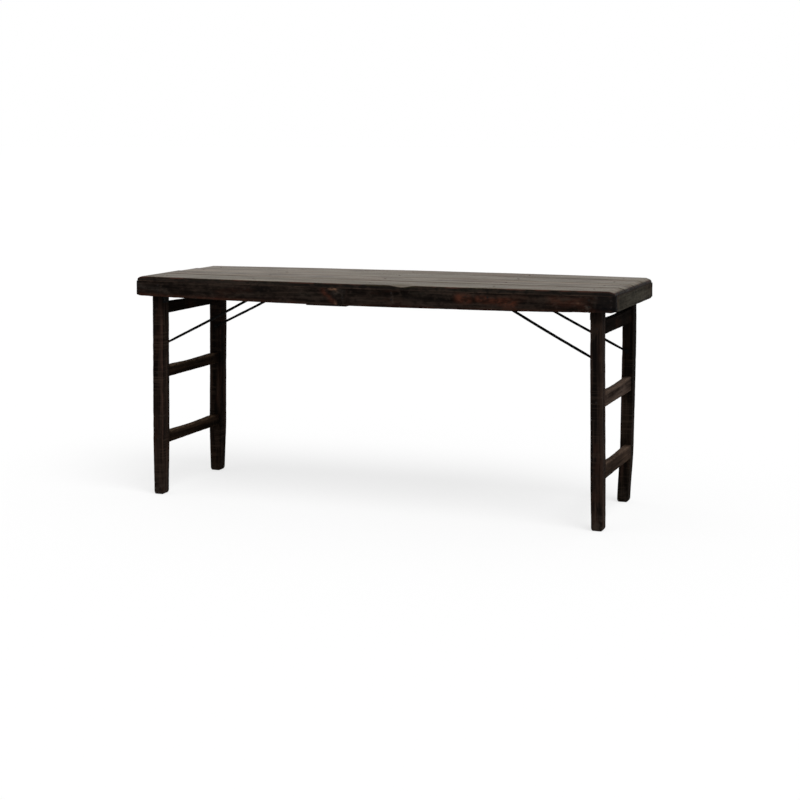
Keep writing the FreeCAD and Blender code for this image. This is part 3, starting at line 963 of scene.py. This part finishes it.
def top_finish(name, shift):
    """The top of a board: grey-brown, waxed and rubbed, with pinkish and olive lanes, and dark edges; its
    face is lighter than its sides, partly weathering and partly a painted sheen.
    """
    finish = bare_wood(name, 0, BOARD_SHADES, shift, board_roughness)
    lanes = finish.noise((0.9, 17, 4), shift + 23, 4.0, 0.55, 0.2)
    finish.lay_where(lanes, (0.5, 0.64), 0.45, shade(110, 95, 79))
    finish.lay_where(lanes, (0.48, 0.36), 0.5, shade(76, 70, 55))
    patches = finish.noise((3.5, 9, 5), shift + 27, 4.0, 0.6)
    finish.lay_where(patches, (0.53, 0.68), 0.35, shade(112, 107, 98))
    finish.lay_where(patches, (0.46, 0.32), 0.35, shade(92, 72, 58))
    spots = finish.noise((26, 34, 30), shift + 29, 3.0, 0.6)
    finish.lay_where(spots, (0.64, 0.72), 0.5, shade(46, 36, 30), rise=-0.2, rougher=0.05)
    facing_up = finish.kept("facing_up")
    streaky = finish.noise((4, 40, 130), shift + 31, 6.0, 0.66)
    # The sides take the dark rail shades; the top's lighter face is partly a painted sheen.
    side = finish.between(facing_up, 0.96, 0.65)
    dark, middle, pale = RAIL_SHADES
    side_wood = finish.ramp(streaky, (0.36, dark), (0.52, middle), (0.66, pale))
    finish.lay(side, 0.97, side_wood, rougher=0.2)
    dark, middle, pale = UNDER_SHADES
    under_wood = finish.ramp(streaky, (0.36, dark), (0.5, middle), (0.64, pale))
    finish.lay_where(facing_up, (-0.4, -0.8), 0.95, under_wood, rougher=0.1)
    mottled = finish.noise((46, 84, 84), shift + 35, 5.0, 0.66)
    finish.lay_where(mottled, (0.52, 0.62), 0.4, shade(44, 33, 28), within=side)
    finish.lay_where(mottled, (0.48, 0.38), 0.65, SOOT_AND_SHADE, within=side)
    # Pinkish and olive along the front arris: partly rubbed wear and partly a painted highlight.
    rim = finish.times(side, finish.between(facing_up, 0.1, 0.6))
    tinted = finish.noise((11, 30, 30), shift + 33, 4.0, 0.6)
    finish.lay_where(tinted, (0.5, 0.6), 0.7, shade(70, 42, 35), within=rim)
    finish.lay_where(tinted, (0.46, 0.38), 0.5, shade(50, 46, 31), within=rim)
    finish.lay_where(finish.axis("X"), DARK_CORNER, 0.5, shade(13, 12, 13), within=side)
    rub_edges(finish, shade(58, 41, 33), 0.3, shift + 37)
    return finish.close(*BOARD_SURFACE)


def rail_finish(name, axis, shift, shades):
    """The dark rails, streaked along their length and rubbed in places."""
    finish = bare_wood(name, axis, shades, shift, dark_wood_roughness)
    dark, _, pale = shades
    reddish = finish.noise(drawn_out(axis, 5, 24), shift + 37, 5.0, 0.62)
    finish.lay_where(reddish, (0.52, 0.66), 0.45, shade(36, 20, 14))
    greyed = finish.noise(drawn_out(axis, 8, 34), shift + 39, 5.0, 0.62)
    finish.lay_where(greyed, (0.54, 0.68), 0.4, shade(40, 36, 31))
    mottled = finish.noise(drawn_out(axis, 46, 84), shift + 40, 5.0, 0.66)
    finish.lay_where(mottled, (0.52, 0.62), 0.5, pale)
    finish.lay_where(mottled, (0.47, 0.37), 0.5, dark)
    rub_edges(finish, shade(46, 33, 29), 0.3, shift + 41)
    return finish


def front_rail_finish():
    """The front rail, with its rubs, its torn splinter and its scuffs."""
    finish = rail_finish("front_rail_finish", 0, front_rail_shift, RAIL_SHADES)
    # This dark layer holds real dark marks and a painted shadow line under the boards' edge.
    finish.brush("stain_and_shade", 0.7, shade(10, 9, 9), (40, 40, 90), 5.0)
    finish.brush("red_rub", 0.95, shade(70, 38, 27), (30, 60, 80), 6.0)
    finish.brush("pale_scuff_and_highlight", 0.7, shade(60, 54, 49), (70, 70, 160), 7.0)
    finish.brush("raw_wood", 0.9, shade(116, 86, 68), (90, 90, 170), 8.0, rise=0.4)
    finish.lay_where(finish.from_middle("X"), RAIL_END, 0.5, shade(12, 10, 9), rise=-0.3)
    finish.lay_where(finish.axis("X"), DARK_CORNER, 0.55, shade(11, 11, 12))
    return finish.close(*RAIL_SURFACE)


def end_rail_finish(name, shift):
    """An end rail, greyed, with brown and broken fibres towards its two corners."""
    finish = rail_finish(name, 1, shift, END_SHADES)
    corners = finish.between(finish.from_middle("Y"), *END_RAIL_CORNER)
    broken = finish.noise((60, 34, 70), shift + 43, 5.0, 0.65)
    finish.lay_where(broken, (0.42, 0.55), 0.6, shade(56, 42, 32), within=corners)
    finish.lay_where(broken, (0.46, 0.38), 0.8, shade(12, 10, 8), rise=-0.4, within=corners)
    return finish.close(*RAIL_SURFACE)


def frame_finish(name, axis, shift, shades, rubbed, sawn):
    """The legs and rungs, with the marks of the saw across their grain."""
    finish = bare_wood(name, axis, shades, shift, dark_wood_roughness)
    marks = finish.noise(drawn_out(axis, 300, 7), shift + 43, 2.0, 0.5)
    where = finish.between(finish.noise(drawn_out(axis, 7, 16), shift + 45, 3.0), 0.42, 0.58)
    finish.lay_where(marks, (0.5, 0.62), sawn, shade(52, 42, 35), rise=0.5, within=where)
    reddish = finish.noise(drawn_out(axis, 8, 26), shift + 47, 5.0, 0.62)
    finish.lay_where(reddish, (0.52, 0.66), 0.45, halfway(shades[1], shade(46, 26, 17)))
    rub_edges(finish, rubbed, 0.6, shift + 53)
    return finish


def leg_finish(side, face, shift):
    """A leg, painted darker towards the top for the shade under the table top, grey and scuffed at the foot,
    with one worn edge and painted shade where the rungs enter.
    """
    name = f"{side}_{face}_leg_finish"
    finish = frame_finish(name, 2, shift, LEG_SHADES[side, face], shade(46, 35, 29), LEG_SAWN[side])
    height = finish.axis("Z")
    # Painted shade: darker towards the top, under the table top.
    finish.lay_where(height, LEG_SHADE_UNDER_TOP[side, face], 0.5, SOOT_AND_SHADE)
    low_down = finish.between(height, foot_scuff_height, 0.0)
    patches = finish.noise((50, 50, 70), shift + 59, 5.0, 0.65)
    finish.lay_where(patches, (0.4, 0.6), FOOT_SCUFFED[face], shade(50, 44, 39), rise=0.2, within=low_down)
    finish.brush("pale_scuff_and_highlight", 0.75, shade(76, 52, 46), (60, 60, 30), shift + 61)
    # Painted shade where the rungs enter the leg.
    finish.brush("stain_and_shade", 0.75, SOOT_AND_SHADE, (50, 50, 34), shift + 67)
    return finish.close(*LEG_SURFACE)


def rung_finish(side, level, shift):
    """A rung, its upper side pale, partly rubbed by use and partly a painted highlight, with painted shade at
    its ends.
    """
    name = f"{side}_{level}_rung_finish"
    finish = frame_finish(name, 1, shift, RUNG_SHADES[side, level], RUNG_RUBBED[level], rung_sawn)
    # Pale upper side: partly rubbed wear, partly a painted highlight.
    finish.brush("pale_scuff_and_highlight", 0.75, RUNG_SCUFF_AND_HIGHLIGHT[side], (160, 50, 160), shift + 61)
    # Painted shade at the rung's ends, where it meets the legs.
    finish.brush("stain_and_shade", 0.8, SOOT_AND_SHADE, (50, 34, 50), shift + 67)
    return finish.close(*RUNG_SURFACE)


def iron_finish(name, base, rust, shift):
    """Black forged iron, hammered, with rust in the hollows."""
    finish = Finish(name)
    hammered = finish.noise((140, 140, 140), shift, 2.0, 0.45)
    scale = finish.noise((420, 420, 420), shift + 5, 4.0, 0.6)
    finish.colour = finish.ramp(scale, (0.3, base), (0.7, brighter(base, 1.7)))
    finish.height = finish.maths("ADD", hammered, finish.times(scale, 0.4))
    finish.rough = finish.span(hammered, 0.78, 0.5)
    finish.lay_where(hammered, (0.56, 0.7), 0.6, rust, rise=-0.2, rougher=0.15)
    return finish.close(*IRON_SURFACE)


def dress(block, material):
    """Give a piece one finish."""
    block.data.materials.clear()
    block.data.materials.append(material)


def dress_packed(node, material):
    """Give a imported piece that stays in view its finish."""
    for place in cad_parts[node].material_slots:
        place.material = material


# Marks of use, with painted shade and a painted highlight among them. Each stroke on the front rail has a
# width and a strength, then places along the rail and up.

FRONT_LEFT_MARKS = {
    "raw_wood": (
        (0.0044, 0.95, (-0.120, 0.7550), (-0.106, 0.7540), (-0.096, 0.7505)),
        (0.0040, 0.45, (-0.100, 0.7070), (-0.096, 0.7030)),
    ),
    "pale_scuff_and_highlight": (
        (0.010, 0.6, (-0.100, 0.742), (-0.072, 0.748)),
        (0.003, 0.9, (-0.0733, 0.733), (-0.0733, 0.714)),
        (0.007, 0.5, (-0.849, 0.745), (-0.820, 0.735)),
        (0.008, 0.4, (-0.806, 0.736), (-0.740, 0.726)),
    ),
    "stain_and_shade": (
        (0.012, 0.9, (-0.122, 0.745), (-0.100, 0.722)),
        (0.016, 0.8, (-0.500, 0.742), (-0.330, 0.745)),
        (0.010, 0.7, (-0.840, 0.730), (-0.825, 0.720)),
    ),
    "red_rub": (
        (0.005, 0.4, (-0.84, 0.710), (-0.45, 0.703), (-0.208, 0.700)),
        (0.009, 0.6, (-0.147, 0.752), (-0.137, 0.738)),
        (0.008, 0.55, (-0.124, 0.727), (-0.106, 0.712)),
    ),
}
FRONT_RIGHT_MARKS = {
    "red_rub": (
        (0.0135, 0.95, (0.338, 0.739), (0.366, 0.734)),
        (0.0105, 0.85, (0.405, 0.737), (0.452, 0.733)),
        (0.0145, 1.0, (0.478, 0.730), (0.520, 0.724)),
        (0.016, 0.3, (0.650, 0.740), (0.755, 0.734)),
        (0.005, 0.3, (-0.05, 0.699), (0.40, 0.701), (0.845, 0.710)),
    ),
    "raw_wood": (
        (0.0040, 0.3, (0.734, 0.735), (0.736, 0.7345)),
        (0.0030, 0.30, (0.838, 0.7575), (0.842, 0.7570)),
        (0.0030, 0.35, (0.836, 0.7110), (0.841, 0.7105)),
    ),
    "pale_scuff_and_highlight": (
        (0.003, 0.9, (0.1057, 0.735), (0.1057, 0.716)),
        (0.005, 0.8, (0.762, 0.724), (0.768, 0.719)),
        (0.0035, 0.9, (0.793, 0.754), (0.795, 0.753)),
        (0.003, 0.3, (0.790, 0.740), (0.790, 0.722)),
    ),
    "stain_and_shade": (
        (0.030, 1.0, (0.832, 0.752), (0.832, 0.718)),
        # A painted shadow line under the boards' edge, along the top of the rail.
        (0.0022, 1.0, (0.200, 0.7585), (0.560, 0.7585), (0.850, 0.7585)),
        (0.014, 0.7, (0.150, 0.730), (0.280, 0.735)),
        (0.012, 0.6, (0.545, 0.730), (0.620, 0.735)),
    ),
}
leg_edge_width = 0.0024
leg_edge_low = 0.04
leg_edge_high = 0.66
leg_edge_worn = 0.3
left_front_edge_worn = 0.75
# Widths of the painted shade where the rungs enter the front and back legs.
RUNG_ENTRY_SHADE_WIDTH = {"front": 0.016, "back": 0.024}
# How pale each rung's upper side is made: partly wear, partly a painted highlight.
RUNG_TOP_WEAR_AND_HIGHLIGHT = {"upper": 0.0, "middle": 0.9, "lower": 0.9}
rung_top_mark_width = 0.006
rung_top_mark_inset = 0.003
rung_top_mark_front = 0.85
rung_top_mark_back = 0.8
# Width and strength of the painted shade at the rungs' ends.
rung_end_shade_width = 0.018
rung_end_shade = 0.9


def mark_front_rail(block, marks):
    """Paint the marks on one length of the front rail."""
    front_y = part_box("front_rail_left")[0].y
    for layer, strokes in marks.items():
        placed = []
        for width, strength, *line in strokes:
            placed.append((width, strength, [(x, front_y, z) for x, z in line]))
        paint(block, layer, placed)


def mark_leg(block, side, face):
    """Paint the worn edge of a leg and the painted shade where its rungs enter."""
    low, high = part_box(f"{side}_{face}_leg")
    worn_x = high.x if side == "left" else low.x
    worn = left_front_edge_worn if (side, face) == ("left", "front") else leg_edge_worn
    edge = [(worn_x, low.y, leg_edge_low), (worn_x, low.y, leg_edge_high)]
    paint(block, "pale_scuff_and_highlight", [(leg_edge_width, worn, edge)])
    inner_y = low.y if face == "back" else high.y
    shaded_lines = []
    for level in RUNGS:
        rung_low, rung_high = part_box(f"{side}_{level}_rung")
        for x in (low.x, high.x):
            line = [(x, inner_y, rung_low.z), (x, inner_y, rung_high.z)]
            shaded_lines.append((RUNG_ENTRY_SHADE_WIDTH[face], 1.0, line))
    paint(block, "stain_and_shade", shaded_lines)


def mark_rung(block, side, level):
    """Paint the pale upper side of a rung, partly wear and partly a painted highlight, and painted shade at
    its ends where it meets the legs.
    """
    low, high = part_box(f"{side}_{level}_rung")
    middle_x = (low.x + high.x) / 2
    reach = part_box(f"{side}_back_leg")[0].y
    rubs = []
    for x in (low.x + rung_top_mark_inset, middle_x, high.x - rung_top_mark_inset):
        line = [(x, -rung_top_mark_front * reach, high.z), (x, rung_top_mark_back * reach, high.z)]
        rubs.append((rung_top_mark_width, RUNG_TOP_WEAR_AND_HIGHLIGHT[level], line))
    paint(block, "pale_scuff_and_highlight", rubs)
    shaded_lines = []
    for y in (-reach, reach):
        shaded_lines.append((rung_end_shade_width, rung_end_shade, [(middle_x, y, low.z), (middle_x, y, high.z)]))
    paint(block, "stain_and_shade", shaded_lines)


# Building the table

for index, name in enumerate(BOARDS):
    dress(top_board(name), top_finish(name + "_finish", board_shift + board_shift_step * index))

front_left = long_rail("front_rail_left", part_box("front_rail_left")[1].x)
front_right = long_rail("front_rail_right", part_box("front_rail_right")[0].x)
back_rail = long_rail("back_rail", 0.0)
mark_front_rail(front_left, FRONT_LEFT_MARKS)
mark_front_rail(front_right, FRONT_RIGHT_MARKS)
front_wood = front_rail_finish()
dress(front_left, front_wood)
dress(front_right, front_wood)
dress(back_rail, rail_finish("back_rail_finish", 0, back_rail_shift, RAIL_SHADES).close(*RAIL_SURFACE))
for index, side in enumerate(SIDES):
    end_wood = end_rail_finish(f"{side}_end_finish", end_rail_shift + end_rail_shift_step * index)
    dress(end_rail(f"{side}_end_rail"), end_wood)

for side_index, side in enumerate(SIDES):
    frame_shift = frame_shift_step * side_index
    for index, face in enumerate(FACES):
        made = leg(side, face)
        mark_leg(made, side, face)
        dress(made, leg_finish(side, face, leg_shift + frame_shift + leg_shift_step * index))
    for index, level in enumerate(RUNGS):
        made = rung(side, level)
        mark_rung(made, side, level)
        dress(made, rung_finish(side, level, rung_shift + frame_shift + rung_shift_step * index))

black_iron = iron_finish("black_iron_finish", shade(7, 7, 7), shade(18, 13, 10), stay_shift)
nail_iron = iron_finish("nail_iron_finish", shade(24, 21, 20), shade(44, 33, 27), nail_shift)
rubbed_iron = iron_finish("rubbed_iron_finish", shade(58, 50, 43), shade(72, 58, 47), rubbed_nail_shift)
one_nail = nail_pattern()
dress(drive_nails(one_nail, "board_nails", "top", board_nail_places()), rubbed_iron)
dress(drive_nails(one_nail, "rail_nails", "top", rail_nail_places()), nail_iron)
for side in SIDES:
    dress(drive_nails(one_nail, f"{side}_rung_nails", f"{side}_frame", rung_nail_places(side)), nail_iron)
bpy.data.objects.remove(one_nail)
for side in SIDES:
    for face in FACES:
        dress(stay(side, face), black_iron)

hidden_wood = rail_finish("underside_finish", 1, underside_shift, UNDER_SHADES).close(*RAIL_SURFACE)
for node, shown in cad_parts.items():
    if shown.hide_render:
        continue
    if node.endswith(("_rail", "_batten", "_splice")):
        dress_packed(node, hidden_wood)
    elif node.endswith("_nails"):
        dress_packed(node, nail_iron)
    else:
        dress_packed(node, black_iron)

# The stage: a pale floor, even light and the camera

floor_grey = 0.9
floor_glow = 0.7
room_light = 0.6
lamp_direction = Vector((-0.42, 0.36, -0.83))
camera_place = (2.05363, -5.39164, 1.25384)
camera_dip = 0.055
camera_heading = 0.3618


def seen_directly(tree):
    """Whether light goes straight, or by way of a gloss or a clear piece, into the camera."""
    path = tree.nodes.new("ShaderNodeLightPath")
    seen = path.outputs["Is Camera Ray"]
    for kind in ("Is Glossy Ray", "Is Transmission Ray"):
        either = add_node(tree, "ShaderNodeMath", {0: seen, 1: path.outputs[kind]}, operation="MAXIMUM")
        seen = either.outputs[0]
    return seen


def floor_coat():
    """A pale coat that shows soft shadows on white and is clear from below."""
    coat = bpy.data.materials.new("pale_floor_paint")
    coat.use_nodes = True
    tree = coat.node_tree
    tree.nodes.remove(tree.nodes["Principled BSDF"])
    matt = add_node(tree, "ShaderNodeBsdfDiffuse", {"Color": (floor_grey, floor_grey, floor_grey, 1)})
    glow = add_node(tree, "ShaderNodeEmission", {"Strength": 1.0})
    share = add_node(tree, "ShaderNodeMath", {0: seen_directly(tree), 1: floor_glow}, operation="MULTIPLY")
    from_above = add_node(tree, "ShaderNodeMixShader",
                          {0: share.outputs[0], 1: matt.outputs[0], 2: glow.outputs[0]})
    facing = tree.nodes.new("ShaderNodeNewGeometry")
    clear = tree.nodes.new("ShaderNodeBsdfTransparent")
    both = add_node(tree, "ShaderNodeMixShader",
                    {0: facing.outputs["Backfacing"], 1: from_above.outputs[0], 2: clear.outputs[0]})
    tree.links.new(both.outputs[0], tree.nodes["Material Output"].inputs["Surface"])
    return coat


bpy.ops.mesh.primitive_plane_add(size=400, location=(0, 0, 0))
floor = bpy.context.object
floor.name = "pale_floor"
floor.data.materials.append(floor_coat())

world = bpy.data.worlds.new("white_room")
bpy.context.scene.world = world
world.use_nodes = True
room = world.node_tree
sky = room.nodes["Background"]
sky.inputs["Color"].default_value = WHITE
light = add_node(room, "ShaderNodeMapRange",
                 {"Value": seen_directly(room), "To Min": room_light, "To Max": 1.0})
room.links.new(light.outputs[0], sky.inputs["Strength"])

bpy.ops.object.light_add(type="SUN", location=(2, -2, 4))
lamp = bpy.context.object
lamp.name = "soft_lamp"
lamp.rotation_mode = "QUATERNION"
lamp.rotation_quaternion = lamp_direction.to_track_quat("-Z", "Y")
lamp.data.energy = 2.0
lamp.data.angle = math.radians(40)
bpy.ops.object.camera_add(location=camera_place, rotation=(math.pi / 2 - camera_dip, 0, camera_heading))
camera = bpy.context.object
camera.data.sensor_width = 36
camera.data.lens = 74.781
camera.data.shift_x = 0.005
camera.data.shift_y = -0.2116
camera.data.clip_end = 1000
bpy.context.scene.camera = camera
bpy.context.scene.view_settings.view_transform = "Standard"
